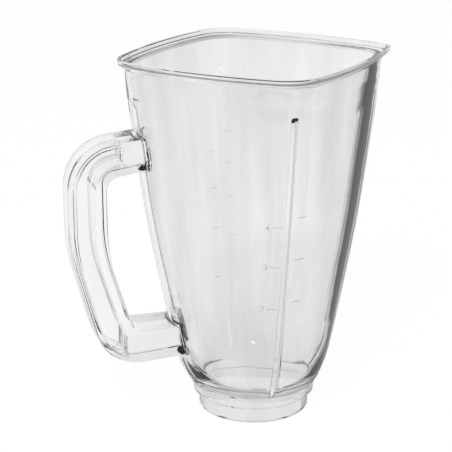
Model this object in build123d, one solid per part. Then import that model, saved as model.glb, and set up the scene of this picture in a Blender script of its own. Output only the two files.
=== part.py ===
from build123d import *
from math import cos, radians, sin, tan
import os

# Blender jar: one clear moulding with a four-cornered body, round neck, pouring lip and loop handle.
# Millimetres. +Z runs up the neck axis and Z = 0 is the underside of the neck ring.
# The handle is on the -X corner, the pouring lip on the +X corner.

# Neck
BORE_R = 29.0            # bore that takes the blade seat
BORE_TOP = 17.0          # height where the bore opens into the body
NECK_RING_R = 32.0       # plain ring below the collar
COLLAR_Z = 8.8           # underside of the collar
COLLAR_R = 35.3
COLLAR_TOP = 15.0        # where the body starts to open out
COLLAR_BEVEL = 2.2       # bevel under the collar
COLLAR_BLEND_R = 8.0     # hollow rounding from the collar into the body
NECK_BEVEL = 0.8         # bevel inside and outside the ring's lower edge

# Body, from the shoulder over the neck up to the rim
SHOULDER_Z = 31.0
SHOULDER_REACH = 44.4    # corners at the shoulder, from the axis
SHOULDER_CORNER_R = 24.0
TOP_REACH = 73.8         # corners where the rim starts
TOP_CORNER_R = 18.5
BELLY = 3.7              # how far the corners bow out of straight half way up
SIDE_BOW = 3.5           # how far the four sides bow out between the corners
CORNER_WALL = 3.8        # wall in the corners
SIDE_WALL = 2.3          # wall in the middle of the sides
STATIONS = 6             # outlines the body surface is drawn through
RING_SPLIT = 24.0        # half the arc of a round foot that leads into a corner, in degrees

# Rim and pouring lip
RIM_Z = 210.0            # top of the rim
RIM_DEPTH = 5.8          # from there down to where the rim leaves the body
RIM_FACE = 2.7           # upright outer face of the rim
RIM_OUT = 3.9            # overhang past the body
RIM_LAND = 2.3           # flat top of the rim
RIM_BEVEL = 0.5          # bevel on the rim's edges
LEDGE_DEPTH = 3.0        # lid ledge inside the mouth, below the rim
LIP_OUT = 2.0            # how far the lip runs out past the other corners
LIP_R = 7.0              # rounding of its tip in plan

# Ribs inside the four corners
RIB_W = 4.6              # at the wall
RIB_NOSE_W = 1.6
RIB_PROUD = 3.8
RIB_SEAT = 1.5           # how deep a rib is bedded in the wall
RIB_DROP = 24.0          # from the rim down to the upper end of the nose
RIB_END = 3.0            # sloping upper end
RIB_FOOT = 0.5           # how far the nose stays behind the bore where it runs out

# Handle, a bent bar of I section round a finger gap
GRIP_W = 26.0            # across the hand
GRIP_DEPTH = 20.0        # from the fingers to the palm
FINGER_ROOM = 20.5       # between the body and the grip at the top of the gap
GAP_DROP = 63.0          # from the rim down to the gap
GAP_RISE = 26.4          # from the shoulder up to the gap
GAP_TOP_R = 8.0
GAP_LOW_R = 6.0
GAP_LEAN = 17.0          # how far the lower half of the gap leans in, in degrees
GRIP_LEAN = 15.0         # the same for the palm side of the grip
BEND_R = 100.0           # where the grip starts to lean
GRIP_TOP_R = 28.0
GRIP_LOW_R = 26.0
ARM_DEPTH = 17.0         # top arm where it turns into the grip
FOOT_DEPTH = 21.4        # the same for the bottom arm
ARM_CLIMB = 5.6          # slope of the top arm up to the body, in degrees
GAP_CLIMB = 7.9          # the same on its underside
FOOT_CLIMB = 4.4         # slope of the bottom arm's underside
ROOT_IN = 0.7            # the arms run on behind the wall, to this far outside the collar
FLANGE_OUT = 3.4         # flange along the palm
FLANGE_IN = 6.5          # flange along the fingers
WEB = 4.0                # web between the two pockets
POCKET_STOP = 11.0       # solid end of the arms, from the wall out to the pockets
GRIP_BEVEL = 0.8         # bevel along the flanges
ROOT_R = 2.0             # hollow rounding where the arms meet the body

TOP_Z = RIM_Z - RIM_DEPTH
LEDGE_Z = RIM_Z - LEDGE_DEPTH
TOL = 0.05               # for picking edges and faces by position
UPWARD = (Align.CENTER, Align.CENTER, Align.MIN)


def closed_wire(arcs):
    """Joins arcs given as (start, middle, end)."""
    return Wire([Edge.make_three_point_arc(*arc) for arc in arcs])


def outline(z, reach, corner_r, bow, lip_reach=None, lip_r=None):
    """Four corner arcs on the axes joined by four bowed sides, all tangent."""
    half_side = (reach - corner_r) / 2**0.5
    side_r = corner_r + (half_side**2 + bow**2) / (2 * bow)
    radii = [lip_r or corner_r, corner_r, corner_r, corner_r]
    reaches = [lip_reach or reach, reach, reach, reach]
    ways = [Vector(1, 0), Vector(0, 1), Vector(-1, 0), Vector(0, -1)]
    centres = [way * (far - r) for way, far, r in zip(ways, reaches, radii)]
    sides = []
    for i in range(4):
        j = (i + 1) % 4
        gap = centres[j] - centres[i]
        to_i = side_r - radii[i]
        to_j = side_r - radii[j]
        along = (gap.length**2 + to_i**2 - to_j**2) / (2 * gap.length)
        unit = gap.normalized()
        inward = Vector(-unit.Y, unit.X)
        hub = centres[i] + unit * along + inward * (to_i**2 - along**2) ** 0.5
        start = hub + (centres[i] - hub).normalized() * side_r
        end = hub + (centres[j] - hub).normalized() * side_r
        middle = hub + ((start + end) * 0.5 - hub).normalized() * side_r
        sides.append((start, middle, end))
    arcs = []
    for i in range(4):
        arcs.append((sides[i - 1][2], ways[i] * reaches[i], sides[i][0]))
        arcs.append(sides[i])
    return Pos(0, 0, z) * closed_wire(arcs)


def ring(z, r):
    """A circle cut into the same eight arcs as an outline."""
    arcs = []
    for quarter in (0, 90, 180, 270):
        side = quarter + 45
        turns = (quarter - RING_SPLIT, quarter, quarter + RING_SPLIT, side, side + 45 - RING_SPLIT)
        p = [Vector(r * cos(radians(t)), r * sin(radians(t))) for t in turns]
        arcs.append((p[0], p[1], p[2]))
        arcs.append((p[2], p[3], p[4]))
    return Pos(0, 0, z) * closed_wire(arcs)


def reach_at(z):
    """Distance of the body's corners from the axis at height z."""
    up = (z - SHOULDER_Z) / (TOP_Z - SHOULDER_Z)
    return SHOULDER_REACH + (TOP_REACH - SHOULDER_REACH) * up + 4 * BELLY * up * (1 - up)


def corner_r_at(z):
    """Corner radius of the body at height z."""
    down = (TOP_Z - z) / (TOP_Z - SHOULDER_Z)
    return TOP_CORNER_R + (SHOULDER_CORNER_R - TOP_CORNER_R) * down**2


def heights(top_z):
    """Heights of the outlines that a body surface is drawn through."""
    return [SHOULDER_Z + (top_z - SHOULDER_Z) * i / (STATIONS - 1) for i in range(STATIONS)]


def body(foot, top_z, wall, bow):
    """Body surface moved inwards by wall at the corners, from a round foot to top_z."""
    levels = [outline(z, reach_at(z) - wall, corner_r_at(z) - wall, bow) for z in heights(top_z)]
    return Solid.make_loft([foot] + levels)


def rim_outline(z, cut):
    """Outline of the rim with its pouring lip, moved inwards by cut."""
    out = RIM_OUT - cut
    return outline(z, TOP_REACH + out, TOP_CORNER_R + out, SIDE_BOW, TOP_REACH + out + LIP_OUT, LIP_R - cut)


def level_edges(shape, z):
    """Edges lying flat at height z."""
    return [e for e in shape.edges() if abs(e.center().Z - z) < TOL and e.bounding_box().size.Z < TOL]


def rib_section(z, wall, proud):
    """Section of the rib in the +X corner."""
    root = RIB_W / 2
    nose = RIB_NOSE_W / 2
    return Wire.make_polygon([
        (wall + RIB_SEAT, -root, z),
        (wall - proud, -nose, z),
        (wall - proud, nose, z),
        (wall + RIB_SEAT, root, z),
    ])


# Neck and body
collar = Pos(0, 0, COLLAR_Z) * Cylinder(COLLAR_R, COLLAR_TOP - COLLAR_Z, align=UPWARD)
neck_ring = Cylinder(NECK_RING_R, COLLAR_Z, align=UPWARD)
vessel = body(ring(COLLAR_TOP, COLLAR_R), TOP_Z, 0.0, SIDE_BOW) + collar + neck_ring
vessel = fillet(level_edges(vessel, COLLAR_TOP), COLLAR_BLEND_R)
vessel = chamfer(max(level_edges(vessel, COLLAR_Z), key=lambda e: e.length), COLLAR_BEVEL)
vessel = chamfer(level_edges(vessel, 0.0), NECK_BEVEL)

# Handle: side views of the whole loop and of the finger gap, then pockets that leave flanges and a web
root_x = -(COLLAR_R + ROOT_IN)
gap_top = RIM_Z - GAP_DROP
gap_low = SHOULDER_Z + GAP_RISE
bend = (gap_top + gap_low) / 2


def side_view(x, top, low, lean, climb_top, climb_low, r_top, r_low):
    """Closed side view: upright at x down to the bend, then leaning in to the bottom arm."""
    low_x = x + (bend - low) * tan(radians(lean))
    face = make_face(Polyline(
        (root_x, top + (root_x - x) * tan(radians(climb_top))),
        (x, top),
        (x, bend),
        (low_x, low),
        (root_x, low + (root_x - low_x) * tan(radians(climb_low))),
        close=True,
    ))
    for px, pz, r in ((x, top, r_top), (x, bend, BEND_R), (low_x, low, r_low)):
        face = fillet(face.vertices().sort_by_distance((px, pz, 0))[0], r)
    return face


gap_x = -(reach_at(gap_top) + FINGER_ROOM)
gap = side_view(gap_x, gap_top, gap_low, GAP_LEAN, GAP_CLIMB, 0.0, GAP_TOP_R, GAP_LOW_R)
loop = side_view(gap_x - GRIP_DEPTH, gap_top + ARM_DEPTH, gap_low - FOOT_DEPTH, GRIP_LEAN,
                 ARM_CLIMB, FOOT_CLIMB, GRIP_TOP_R, GRIP_LOW_R)
stop_x = -(reach_at(gap_top) + POCKET_STOP)
beyond = Pos(stop_x, 0) * Rectangle(2 * RIM_Z, 2 * RIM_Z, align=(Align.MAX, Align.CENTER))
pocket = (offset(loop, -FLANGE_OUT) - offset(gap, FLANGE_IN)) & beyond
grip = extrude(Plane.XZ * (loop - gap), amount=GRIP_W / 2, both=True)
grip -= extrude(Plane.XZ * pocket, amount=GRIP_W, both=True)
grip += extrude(Plane.XZ * pocket, amount=WEB / 2, both=True)
flanks = [f for f in grip.faces() if abs(abs(f.center().Y) - GRIP_W / 2) < TOL]
grip = chamfer([e for f in flanks for e in f.edges()], GRIP_BEVEL)
joined = vessel + grip
joined = fillet(new_edges(vessel, grip, combined=joined), ROOT_R)

# Rim
face_z = RIM_Z - RIM_FACE
body_top = outline(TOP_Z, TOP_REACH, TOP_CORNER_R, SIDE_BOW)
flare = Solid.make_loft([body_top, rim_outline(face_z, 0.0)], ruled=True)
band = extrude(make_face(rim_outline(face_z, 0.0)), RIM_FACE)

# Inside: bore, body and mouth, then the ribs
inside = body(ring(BORE_TOP, BORE_R), LEDGE_Z, CORNER_WALL, SIDE_BOW + CORNER_WALL - SIDE_WALL)
mouth = extrude(make_face(rim_outline(LEDGE_Z, RIM_LAND)), LEDGE_DEPTH)
bore = Cylinder(BORE_R, BORE_TOP, align=UPWARD)
jar = joined + flare + band - inside - mouth - bore
jar = chamfer(level_edges(jar, RIM_Z), RIM_BEVEL)
jar = chamfer(min(level_edges(jar, 0.0), key=lambda e: e.length), NECK_BEVEL)

rib_levels = [rib_section(BORE_TOP, BORE_R, -RIB_FOOT)]
rib_levels += [rib_section(z, reach_at(z) - CORNER_WALL, RIB_PROUD) for z in heights(RIM_Z - RIB_DROP)]
rib_end = RIM_Z - RIB_DROP + RIB_END
rib = Solid.make_loft(rib_levels)
rib_tip = rib_section(rib_end, reach_at(rib_end) - CORNER_WALL, 0.0)
rib += Solid.make_loft([rib_levels[-1], rib_tip], ruled=True)
for quarter in range(4):
    jar += Rot(0, 0, 90 * quarter) * rib

os.makedirs("parts", exist_ok=True)
export_step(jar, "parts/jar.step")
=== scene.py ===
import math

import bmesh
import bpy
import numpy as np
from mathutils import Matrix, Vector
from mathutils.kdtree import KDTree


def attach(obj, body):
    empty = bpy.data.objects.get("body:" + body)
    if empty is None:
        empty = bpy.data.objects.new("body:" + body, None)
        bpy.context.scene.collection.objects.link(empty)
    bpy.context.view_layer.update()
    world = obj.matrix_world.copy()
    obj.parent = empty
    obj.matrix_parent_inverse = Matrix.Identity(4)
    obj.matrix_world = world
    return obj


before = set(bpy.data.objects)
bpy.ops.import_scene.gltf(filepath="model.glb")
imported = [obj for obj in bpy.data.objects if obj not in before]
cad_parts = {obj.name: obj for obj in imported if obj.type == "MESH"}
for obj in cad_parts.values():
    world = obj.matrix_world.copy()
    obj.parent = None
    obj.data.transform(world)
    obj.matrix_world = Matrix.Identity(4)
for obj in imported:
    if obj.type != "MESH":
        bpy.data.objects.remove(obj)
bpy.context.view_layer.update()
scene = bpy.context.scene
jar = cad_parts["jar"]

# The body's corners and walls as drawn in the part, in metres
SHOULDER_Z = 0.031
TOP_Z = 0.2042
LEDGE_Z = 0.207
SHOULDER_REACH = 0.0444
TOP_REACH = 0.0738
BELLY = 0.0037
SHOULDER_CORNER_R = 0.024
TOP_CORNER_R = 0.0185
SIDE_BOW = 0.0035
CORNER_WALL = 0.0038
SIDE_WALL = 0.0023
COLLAR_TOP = 0.015
HANDLE_ROOT = -0.05

# Where normals come from: drawn outlines above OUTLINE_LOW, fitted patches from the collar to FUNNEL_HIGH
OUTLINE_LOW = 0.045
FUNNEL_HIGH = 0.066
ON_WALL = 3e-4              # how far a point on the wall may lie from the outline
ON_WALL_COS = math.cos(math.radians(14))
SEAM_COS = math.cos(math.radians(32))
WELD = 2e-6
RIB_CLEAR = 0.003           # patches keep off the ribs' planes
PATCH_R = 0.005
PATCH_POINTS = 9
PATCH_COS = 0.85
PATCH_TURN = 0.2
TINY = 1e-20


def wall_at(z, inside):
    """The wall's outline at height z: centre, radius and half angle of a corner, hub and radius of a side."""
    up = (z - SHOULDER_Z) / (TOP_Z - SHOULDER_Z)
    cut = CORNER_WALL if inside else 0.0
    bow = SIDE_BOW + (CORNER_WALL - SIDE_WALL if inside else 0.0)
    reach = SHOULDER_REACH + (TOP_REACH - SHOULDER_REACH) * up + 4 * BELLY * up * (1 - up) - cut
    r = TOP_CORNER_R + (SHOULDER_CORNER_R - TOP_CORNER_R) * (1 - up) ** 2 - cut
    half = (reach - r) / math.sqrt(2)
    u = (half**2 + bow**2) / (2 * bow)
    return reach - r, r, math.pi / 4 - np.arcsin(half / u), half - np.sqrt(u**2 - half**2), u + r


def tangent_distance(z, angle, inside):
    """Distance from the axis to the wall's tangent that faces the angle."""
    centre, r, corner, hub, side_r = wall_at(z, inside)
    off = np.abs((angle + math.pi / 4) % (math.pi / 2) - math.pi / 4)
    return np.where(off <= corner, centre * np.cos(off) + r, hub * np.cos(math.pi / 4 - off) + side_r)


def wall_normals(co, inside):
    """Wall normals from the drawn outlines, and which points lie on that wall."""
    x, y, z = co.T
    centre, r, corner, hub, side_r = wall_at(z, inside)
    around = np.arctan2(y, x)
    quarter = np.round(around / (math.pi / 2)) * (math.pi / 2)
    vx = x - centre * np.cos(quarter)
    vy = y - centre * np.sin(quarter)
    turn = np.arctan2(vy, vx)
    off = (turn - quarter + math.pi) % (2 * math.pi) - math.pi
    diagonal = quarter + np.where(np.sin(around - quarter) >= 0, math.pi / 4, -math.pi / 4)
    wx = x - hub * np.cos(diagonal)
    wy = y - hub * np.sin(diagonal)
    at_corner = np.abs(off) <= corner
    angle = np.where(at_corner, turn, np.arctan2(wy, wx))
    away = np.where(at_corner, np.hypot(vx, vy) - r, np.hypot(wx, wy) - side_r)
    step = 1e-4
    rise = tangent_distance(z + step, angle, inside) - tangent_distance(z - step, angle, inside)
    normal = np.stack([np.cos(angle), np.sin(angle), -rise / (2 * step)], 1)
    normal *= (-1 if inside else 1) / np.linalg.norm(normal, axis=1, keepdims=True)
    top = LEDGE_Z if inside else TOP_Z
    return normal, (np.abs(away) < ON_WALL) & (z > OUTLINE_LOW) & (z < top + step)


def fitted_normals(at, normal, pick):
    """Normals of a curved patch fitted through the mesh's points around each picked point."""
    tree = KDTree(len(at))
    for i, point in enumerate(at):
        tree.insert(point, i)
    tree.balance()
    result = normal.copy()
    for i in np.flatnonzero(pick):
        near = np.array([found[1] for found in tree.find_range(at[i], PATCH_R)])
        near = near[normal[near] @ normal[i] > PATCH_COS]
        if len(near) < PATCH_POINTS:
            continue
        across = np.cross(normal[i], np.eye(3)[np.argmin(np.abs(normal[i]))])
        across /= np.linalg.norm(across)
        other = np.cross(normal[i], across)
        u, v, h = ((at[near] - at[i]) @ np.stack([across, other, normal[i]], 1)).T / PATCH_R
        weight = np.exp(-4 * (u**2 + v**2))[:, None]
        terms = np.stack([np.ones_like(u), u, v, u * u, u * v, v * v], 1)
        slope = np.linalg.lstsq(terms * weight, h * weight[:, 0], rcond=1e-4)[0]
        if np.hypot(slope[1], slope[2]) < PATCH_TURN:
            turned = normal[i] - slope[1] * across - slope[2] * other
            result[i] = turned / np.linalg.norm(turned)
    return result


def unit(vectors):
    """The vectors, along the last axis, at length one."""
    return vectors / np.maximum(np.linalg.norm(vectors, axis=-1, keepdims=True), TINY)


def smooth_normals(mesh):
    """Gives the tessellated part normals that run smoothly over its seams, exact ones on the body's walls."""
    co = np.empty(len(mesh.vertices) * 3)
    mesh.vertices.foreach_get("co", co)
    co = co.reshape(-1, 3)
    corners = np.empty(len(mesh.loops), int)
    mesh.loops.foreach_get("vertex_index", corners)
    face_of = np.repeat(np.arange(len(mesh.polygons)), 3)
    points = co[corners].reshape(-1, 3, 3)
    flat = unit(np.cross(points[:, 1] - points[:, 0], points[:, 2] - points[:, 0]))
    ahead = unit(np.roll(points, -1, 1) - points)
    opening = np.arccos(np.clip((ahead * -np.roll(ahead, 1, 1)).sum(2), -1, 1)).reshape(-1)
    cells = np.round(co / WELD).astype(np.int64)
    spot = np.unique(cells, axis=0, return_inverse=True)[1].reshape(-1)[corners]
    order = np.argsort(spot, kind="stable")
    result = np.empty((len(corners), 3))
    for group in np.split(order, np.flatnonzero(np.diff(spot[order])) + 1):
        faces = flat[face_of[group]]
        result[group] = (faces @ faces.T > SEAM_COS) @ (faces * opening[group, None])
    result = unit(result)
    at = co[corners]
    kinds = np.column_stack([spot, np.round(result * 200).astype(np.int64)])
    first, same = np.unique(kinds, axis=0, return_index=True, return_inverse=True)[1:]
    x, y, z = at[first].T
    off_ribs = np.minimum(np.abs(x), np.abs(y)) > RIB_CLEAR
    pick = (z > COLLAR_TOP) & (z < FUNNEL_HIGH) & (x > HANDLE_ROOT) & off_ribs
    result = fitted_normals(at[first], result[first], pick)[same.reshape(-1)]
    for inside in (False, True):
        exact, on = wall_normals(at, inside)
        use = on & ((exact * flat[face_of]).sum(1) > ON_WALL_COS)
        result[use] = exact[use]
    mesh.shade_smooth()
    mesh.normals_split_custom_set(result.tolist())


smooth_normals(jar.data)


def new_material(name):
    """An empty node material and its output."""
    material = bpy.data.materials.new(name)
    material.use_nodes = True
    nodes = material.node_tree.nodes
    nodes.clear()
    return material, nodes, material.node_tree.links, nodes.new("ShaderNodeOutputMaterial")


def clear_plastic(name, smoothest, roughest):
    """Clear moulded plastic with flow streaks in its tint and surface, and uneven gloss."""
    material, nodes, links, out = new_material(name)
    shader = nodes.new("ShaderNodeBsdfPrincipled")
    shader.inputs["IOR"].default_value = 1.57
    shader.inputs["Transmission Weight"].default_value = 1.0
    place = nodes.new("ShaderNodeTexCoord")
    stretch = nodes.new("ShaderNodeMapping")
    stretch.inputs["Scale"].default_value = (1, 1, 0.12)
    flow = nodes.new("ShaderNodeTexNoise")
    flow.inputs["Scale"].default_value = 90
    flow.inputs["Detail"].default_value = 2
    streaks = nodes.new("ShaderNodeTexNoise")
    streaks.inputs["Scale"].default_value = 55
    streaks.inputs["Detail"].default_value = 3
    tint = nodes.new("ShaderNodeValToRGB")
    thick, thin = tint.color_ramp.elements
    thick.position, thick.color = 0.38, (0.89, 0.897, 0.897, 1)
    thin.position, thin.color = 0.62, (0.982, 0.985, 0.985, 1)
    bump = nodes.new("ShaderNodeBump")
    bump.inputs["Strength"].default_value = 0.06
    bump.inputs["Distance"].default_value = 0.0004
    wear = nodes.new("ShaderNodeTexNoise")
    wear.inputs["Scale"].default_value = 260
    wear.inputs["Detail"].default_value = 5
    spread = nodes.new("ShaderNodeMapRange")
    spread.inputs["To Min"].default_value = smoothest
    spread.inputs["To Max"].default_value = roughest
    links.new(place.outputs["Object"], stretch.inputs["Vector"])
    links.new(stretch.outputs["Vector"], flow.inputs["Vector"])
    links.new(stretch.outputs["Vector"], streaks.inputs["Vector"])
    links.new(streaks.outputs["Fac"], tint.inputs["Fac"])
    links.new(tint.outputs["Color"], shader.inputs["Base Color"])
    links.new(flow.outputs["Fac"], bump.inputs["Height"])
    links.new(bump.outputs["Normal"], shader.inputs["Normal"])
    links.new(place.outputs["Object"], wear.inputs["Vector"])
    links.new(wear.outputs["Fac"], spread.inputs["Value"])
    links.new(spread.outputs["Result"], shader.inputs["Roughness"])
    links.new(shader.outputs["BSDF"], out.inputs["Surface"])
    return material


jar.data.materials.clear()
jar.data.materials.append(clear_plastic("clear_plastic", 0.015, 0.075))

# Scale marks on the outer wall beside the front and back ribs: corner, way round, heights and numerals
FRONT = -math.pi / 2
BACK = math.pi / 2
SCALES = {
    "scale_front_left": (FRONT, -1, (0.0783, 0.1041, 0.1279), "234"),
    "scale_front_right": (FRONT, 1, (0.0818, 0.1078, 0.1328), ""),
    "scale_back_left": (BACK, 1, (0.0621, 0.0916, 0.1158, 0.1379), ""),
    "scale_back_right": (BACK, -1, (0.0863, 0.1094, 0.1299, 0.1490), ""),
}
TICK = (0.0042, 0.0098)     # from the rib's middle
TICK_POINTS = 8
NUMERAL_AT = 0.0112
NUMERAL_W = 0.0022
NUMERAL_H = 0.0034
STROKE = 0.00055
MARK_LOW = 0.00003          # just clear of the wall
MARK_HIGH = 0.00028


def bend(x, y, rx, ry, start, end, count=9):
    """Points of an arc, angles in degrees."""
    turns = np.radians(np.linspace(start, end, count))
    return [(x + rx * math.cos(t), y + ry * math.sin(t)) for t in turns]


NUMERALS = {
    "2": bend(0.5, 0.72, 0.45, 0.28, 165, -35) + [(0.02, 0), (1, 0)],
    "3": bend(0.45, 0.76, 0.4, 0.24, 150, -80) + bend(0.45, 0.27, 0.5, 0.27, 80, -150),
    "4": [(0.7, 0), (0.7, 1), (0, 0.3), (1, 0.3)],
}


def wall_point(corner_angle, way, along, z, lift):
    """Point on the outer wall at a distance round from a corner, lifted off it."""
    centre, r, corner, hub, side_r = wall_at(z, False)
    if along <= r * corner:
        toward, off = corner_angle, along / r
    else:
        toward, off = corner_angle + way * math.pi / 4, corner + (along - r * corner) / side_r
        centre, r = hub, side_r
    angle = corner_angle + way * off
    return (centre * math.cos(toward) + (r + lift) * math.cos(angle),
            centre * math.sin(toward) + (r + lift) * math.sin(angle), z)


def raise_stroke(line, corner_angle, way, verts, faces):
    """Adds a raised stroke along a line of (distance round, height) points."""
    line = np.array(line)
    step = np.diff(line, axis=0)
    step /= np.linalg.norm(step, axis=1, keepdims=True)
    before = np.vstack([step[:1], step])
    after = np.vstack([step, step[-1:]])
    side = np.stack([-(before + after)[:, 1], (before + after)[:, 0]], 1)
    side /= np.maximum((side**2).sum(1, keepdims=True) / 2, 0.5)
    base = len(verts)
    for point, out in zip(line, side * STROKE / 2):
        for way_out, lift in ((-1, MARK_LOW), (1, MARK_LOW), (1, MARK_HIGH), (-1, MARK_HIGH)):
            along, z = point + way_out * out
            verts.append(wall_point(corner_angle, way, along, z, lift))
    for i in range(len(line) - 1):
        a, b = base + 4 * i, base + 4 * i + 4
        faces.extend((a + j, a + (j + 1) % 4, b + (j + 1) % 4, b + j) for j in range(4))
    last = base + 4 * (len(line) - 1)
    faces.append((base + 3, base + 2, base + 1, base))
    faces.append((last, last + 1, last + 2, last + 3))


marking = clear_plastic("raised_mark", 0.25, 0.4)
for name, (corner_angle, way, heights, numerals) in SCALES.items():
    verts, faces = [], []
    for z in heights:
        tick = [(along, z) for along in np.linspace(*TICK, TICK_POINTS)]
        raise_stroke(tick, corner_angle, way, verts, faces)
    for z, numeral in zip(heights, numerals):
        shape = np.array(NUMERALS[numeral])
        along = NUMERAL_AT + NUMERAL_W * (1 - shape[:, 0])
        height = z + NUMERAL_H * (shape[:, 1] - 0.5)
        raise_stroke(np.stack([along, height], 1), corner_angle, way, verts, faces)
    mesh = bpy.data.meshes.new(name)
    mesh.from_pydata(verts, [], faces)
    shell = bmesh.new()
    shell.from_mesh(mesh)
    bmesh.ops.recalc_face_normals(shell, faces=shell.faces)
    shell.to_mesh(mesh)
    shell.free()
    mesh.materials.append(marking)
    scale = bpy.data.objects.new(name, mesh)
    scene.collection.objects.link(scale)
    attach(scale, "root")

# Floor, world and lamps. Rays that come straight or only passed through the plastic see white; mirrored
# rays see a painted reflection: the floor and world glow light behind the handle and in painted shade in
# front of the lip.
# Painted shade seen only in reflections: the glow's level on the light side and on the dark side, and the way
# it darkens
PAINTED_REFLECTION_LIGHT = 1.0
PAINTED_REFLECTION_SHADE = 0.5
PAINTED_SHADE_WAY = (0.6, -0.8, 0)
SHADOW = 0.03               # how much of the lit paper shows beside the jar
SHADE = 0.25                # and through it


def backdrop(nodes, links, coordinate, light_end, dark_end):
    """Sockets: how white the backdrop is for a ray, with painted shade on one side for mirrored rays, and
    whether the ray sees it.
    """
    path = nodes.new("ShaderNodeLightPath")
    place = nodes.new("ShaderNodeTexCoord")
    along = nodes.new("ShaderNodeVectorMath")
    along.operation = "DOT_PRODUCT"
    along.inputs[1].default_value = PAINTED_SHADE_WAY
    # painted shade: the glow darkens towards one side, and only mirrored rays see it
    side = nodes.new("ShaderNodeMapRange")
    side.interpolation_type = "SMOOTHSTEP"
    side.inputs["From Min"].default_value = light_end
    side.inputs["From Max"].default_value = dark_end
    side.inputs["To Min"].default_value = PAINTED_REFLECTION_LIGHT
    side.inputs["To Max"].default_value = PAINTED_REFLECTION_SHADE
    level = nodes.new("ShaderNodeMapRange")
    level.inputs["To Min"].default_value = 1.0
    clear = nodes.new("ShaderNodeMath")
    clear.operation = "MAXIMUM"
    through = nodes.new("ShaderNodeMath")
    through.operation = "MULTIPLY_ADD"
    through.inputs[1].default_value = -SHADE
    seen = nodes.new("ShaderNodeMath")
    seen.operation = "MULTIPLY_ADD"
    seen.use_clamp = True
    seen.inputs[1].default_value = 1 - SHADOW
    links.new(place.outputs[coordinate], along.inputs[0])
    links.new(along.outputs["Value"], side.inputs["Value"])
    links.new(path.outputs["Glossy Depth"], level.inputs["Value"])
    links.new(side.outputs["Result"], level.inputs["To Max"])
    links.new(path.outputs["Is Transmission Ray"], clear.inputs[0])
    links.new(path.outputs["Is Glossy Ray"], clear.inputs[1])
    links.new(path.outputs["Is Transmission Ray"], through.inputs[0])
    links.new(clear.outputs[0], through.inputs[2])
    links.new(path.outputs["Is Camera Ray"], seen.inputs[0])
    links.new(through.outputs[0], seen.inputs[2])
    return level.outputs["Result"], seen.outputs[0]


bpy.ops.mesh.primitive_plane_add(size=12, location=(0, 0, 0))
floor = bpy.context.object
floor.name = "floor"
material, nodes, links, out = new_material("floor_white")
paper = nodes.new("ShaderNodeBsdfDiffuse")
paper.inputs["Color"].default_value = (0.9, 0.9, 0.9, 1)
glow = nodes.new("ShaderNodeEmission")
mix = nodes.new("ShaderNodeMixShader")
# the floor's glow carries the painted shade that the jar's reflections show
level, seen = backdrop(nodes, links, "Object", -0.35, 0.15)
links.new(level, glow.inputs["Color"])
links.new(seen, mix.inputs["Fac"])
links.new(paper.outputs[0], mix.inputs[1])
links.new(glow.outputs[0], mix.inputs[2])
links.new(mix.outputs[0], out.inputs["Surface"])
floor.data.materials.append(material)

world = bpy.data.worlds.new("studio")
scene.world = world
world.use_nodes = True
nodes, links = world.node_tree.nodes, world.node_tree.links
nodes.clear()
out = nodes.new("ShaderNodeOutputWorld")
room = nodes.new("ShaderNodeBackground")
room.inputs["Color"].default_value = (0.45, 0.455, 0.46, 1)
white = nodes.new("ShaderNodeBackground")
mix = nodes.new("ShaderNodeMixShader")
# the world's glow carries the same painted shade for mirrored rays
level, seen = backdrop(nodes, links, "Generated", -0.7, 0.3)
links.new(level, white.inputs["Color"])
links.new(seen, mix.inputs["Fac"])
links.new(room.outputs[0], mix.inputs[1])
links.new(white.outputs[0], mix.inputs[2])
links.new(mix.outputs[0], out.inputs["Surface"])


def lamp(name, place, aim, size, watts, mirrored):
    """A square lamp that the plastic mirrors or not."""
    data = bpy.data.lights.new(name, "AREA")
    data.size = size
    data.energy = watts
    obj = bpy.data.objects.new(name, data)
    obj.visible_glossy = mirrored
    obj.visible_transmission = mirrored
    obj.location = place
    obj.rotation_mode = "QUATERNION"
    obj.rotation_quaternion = (Vector(aim) - Vector(place)).to_track_quat("-Z", "Y")
    scene.collection.objects.link(obj)


lamp("key", (-0.9, -1.0, 1.3), (0, 0, 0.1), 0.5, 18, False)
lamp("spark", (-0.5, -0.9, 1.1), (0, 0, 0.1), 0.16, 15, True)

# Camera
camera_data = bpy.data.cameras.new("camera")
camera_data.lens = 122.4
camera_data.sensor_width = 36
camera_data.clip_start = 0.05
camera_data.clip_end = 50
camera = bpy.data.objects.new("camera", camera_data)
camera.location = (-0.24979, -0.80200, 0.37744)
camera.rotation_mode = "QUATERNION"
camera.rotation_quaternion = Vector((0.26564, 0.91470, -0.30455)).to_track_quat("-Z", "Y")
scene.collection.objects.link(camera)
scene.camera = camera
scene.view_settings.view_transform = "Standard"
